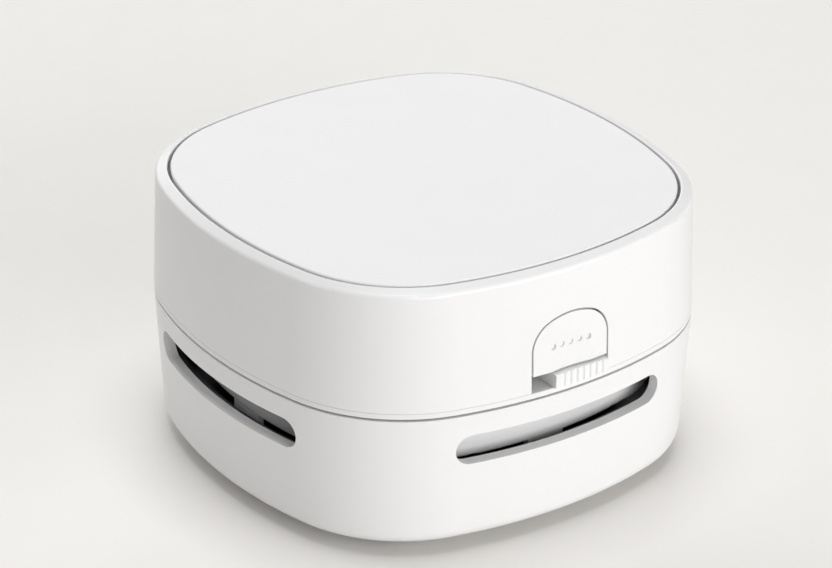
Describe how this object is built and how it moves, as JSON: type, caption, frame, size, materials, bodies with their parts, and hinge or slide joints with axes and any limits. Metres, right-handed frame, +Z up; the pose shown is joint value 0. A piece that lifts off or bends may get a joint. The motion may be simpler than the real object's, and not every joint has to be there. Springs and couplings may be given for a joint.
{
  "type": "desktop mini vacuum cleaner",
  "caption": "Palm-sized rounded-square desk vacuum in white plastic: lift-off motor unit over a dust cup, exhaust slots all round, push release button and slide switch in front.",
  "frame": {"origin": "on the table, under the middle of the cleaner", "axes": "+Z up; -Y is the front with the release button and the switch; +Y is the back with the charging socket; +X is the right-hand side seen from the front"},
  "size_m": [0.084, 0.0846, 0.0483],
  "materials": {
    "shell_plastic": "satin white moulding",
    "panel_plastic": "fine matt white",
    "button_plastic": "satin white moulding",
    "chassis_plastic": "satin white moulding",
    "shroud_plastic": "smooth light grey moulding",
    "black_plastic": "matt black moulding",
    "roller_plastic": "matt dark grey moulding",
    "bristle": "nylon bristle",
    "mesh": "woven filter mesh",
    "seal_rubber": "soft moulded rubber",
    "adhesive": "thin adhesive film",
    "steel": "plain steel",
    "magnet": "ferrite",
    "copper": "copper windings and contacts",
    "cell_wrap": "wrapped steel cell",
    "nickel": "nickel strip",
    "board": "coated board",
    "lamp_lens": "clear light guide"
  },
  "bodies": {
    "base": {"lower_shell": "shell_plastic", "dust_cup": "black_plastic", "inlet_chimney": "black_plastic", "inlet_frame": "black_plastic", "brush_bristles": "bristle", "roller_pins": "steel", "cup_seal": "seal_rubber"},
    "front_left_roller": {"roller_front_left": "roller_plastic"},
    "front_right_roller": {"roller_front_right": "roller_plastic"},
    "rear_right_roller": {"roller_rear_right": "roller_plastic"},
    "rear_left_roller": {"roller_rear_left": "roller_plastic"},
    "filter": {"filter_frame": "black_plastic", "filter_mesh": "mesh", "filter_clamp": "black_plastic"},
    "rotor": {"impeller": "black_plastic", "motor_shaft": "steel", "motor_armature": "copper"},
    "release": {"release_button": "button_plastic", "latch_fork": "button_plastic"},
    "slider": {"switch_knob": "button_plastic", "switch_lever": "black_plastic"},
    "upper_unit": {"upper_housing": "shell_plastic", "top_panel": "panel_plastic", "chassis": "chassis_plastic", "fan_shroud": "shroud_plastic", "fan_plate": "black_plastic", "inlet_gasket": "seal_rubber", "motor_cushion": "seal_rubber", "motor_can": "steel", "motor_bushing": "copper", "motor_magnets": "magnet", "motor_end_cap": "black_plastic", "motor_terminals": "copper", "motor_screws": "steel", "panel_bond": "adhesive", "spring_bracket": "button_plastic", "button_spring": "steel", "slide_switch": "black_plastic", "battery_cell": "cell_wrap", "battery_cradle": "black_plastic", "battery_tabs": "nickel", "circuit_board": "board", "charging_socket": "steel", "charge_lamp": "lamp_lens", "housing_screws": "steel", "shroud_screws": "steel"}
  },
  "joints": [
    {"name": "upper_lift", "type": "slide", "parent": "base", "child": "upper_unit", "axis": [0, 0, 1], "range_m": [0, 0.045]},
    {"name": "filter_lift", "type": "slide", "parent": "base", "child": "filter", "axis": [0, 0, 1], "range_m": [0, 0.0225]},
    {"name": "rotor_spin", "type": "hinge", "parent": "upper_unit", "child": "rotor", "pos_m": [0, 0, 0.03], "axis": [0, 0, 1], "continuous": true},
    {"name": "release_press", "type": "slide", "parent": "upper_unit", "child": "release", "axis": [0, 1, 0], "range_m": [0, 0.0012], "stiffness_N_per_m": 1000, "springref_m": -0.0006, "deforming": ["button_spring"]},
    {"name": "switch_slide", "type": "slide", "parent": "upper_unit", "child": "slider", "axis": [-1, 0, 0], "range_m": [0, 0.0039]},
    {"name": "front_left_roller_spin", "type": "hinge", "parent": "base", "child": "front_left_roller", "pos_m": [-0.026, -0.026, 0.0028], "axis": [1, 0, 0], "continuous": true},
    {"name": "front_right_roller_spin", "type": "hinge", "parent": "base", "child": "front_right_roller", "pos_m": [0.026, -0.026, 0.0028], "axis": [1, 0, 0], "continuous": true},
    {"name": "rear_right_roller_spin", "type": "hinge", "parent": "base", "child": "rear_right_roller", "pos_m": [0.026, 0.026, 0.0028], "axis": [1, 0, 0], "continuous": true},
    {"name": "rear_left_roller_spin", "type": "hinge", "parent": "base", "child": "rear_left_roller", "pos_m": [-0.026, 0.026, 0.0028], "axis": [1, 0, 0], "continuous": true}
  ],
  "couplings": [
    {"joint": "filter_lift", "follows": "upper_lift", "ratio": 0.5}
  ]
}
